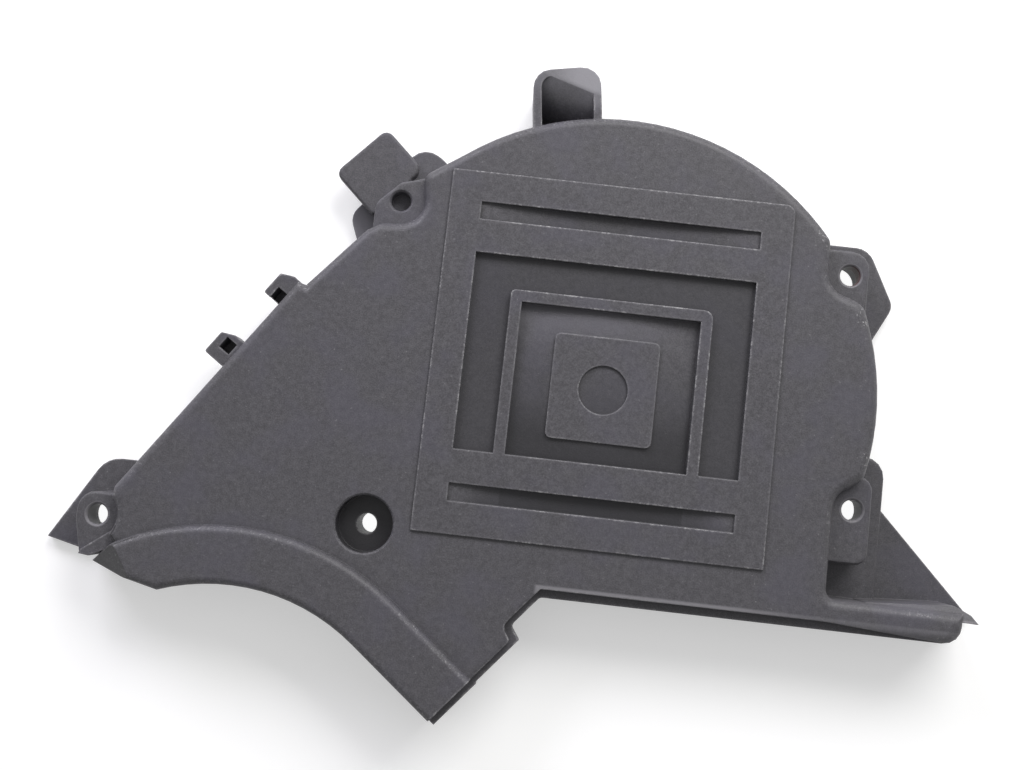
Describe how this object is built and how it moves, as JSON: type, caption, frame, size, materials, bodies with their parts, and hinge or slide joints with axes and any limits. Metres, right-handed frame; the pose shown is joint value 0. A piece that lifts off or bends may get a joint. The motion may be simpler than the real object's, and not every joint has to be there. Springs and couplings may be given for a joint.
{
  "type": "timing cover",
  "caption": "Upper timing-belt cover moulded in dark plastic: rounded face plate with a raised pad and a curved band, bolt ears, a sunk bolt boss and an open belt mouth.",
  "frame": {"origin": "on the axis of the sunk centre bolt, in the plane of the rear rim", "axes": "+X along the straight bottom edge towards the ledge, +Y up the face, +Z out of the face towards the viewer"},
  "size_m": [0.318, 0.2254, 0.025],
  "materials": {
    "filled_plastic": "matte, finely mottled, with pale scuffs on the raised edges"
  },
  "bodies": {
    "root": {"timing_cover": "filled_plastic"}
  },
  "joints": []
}
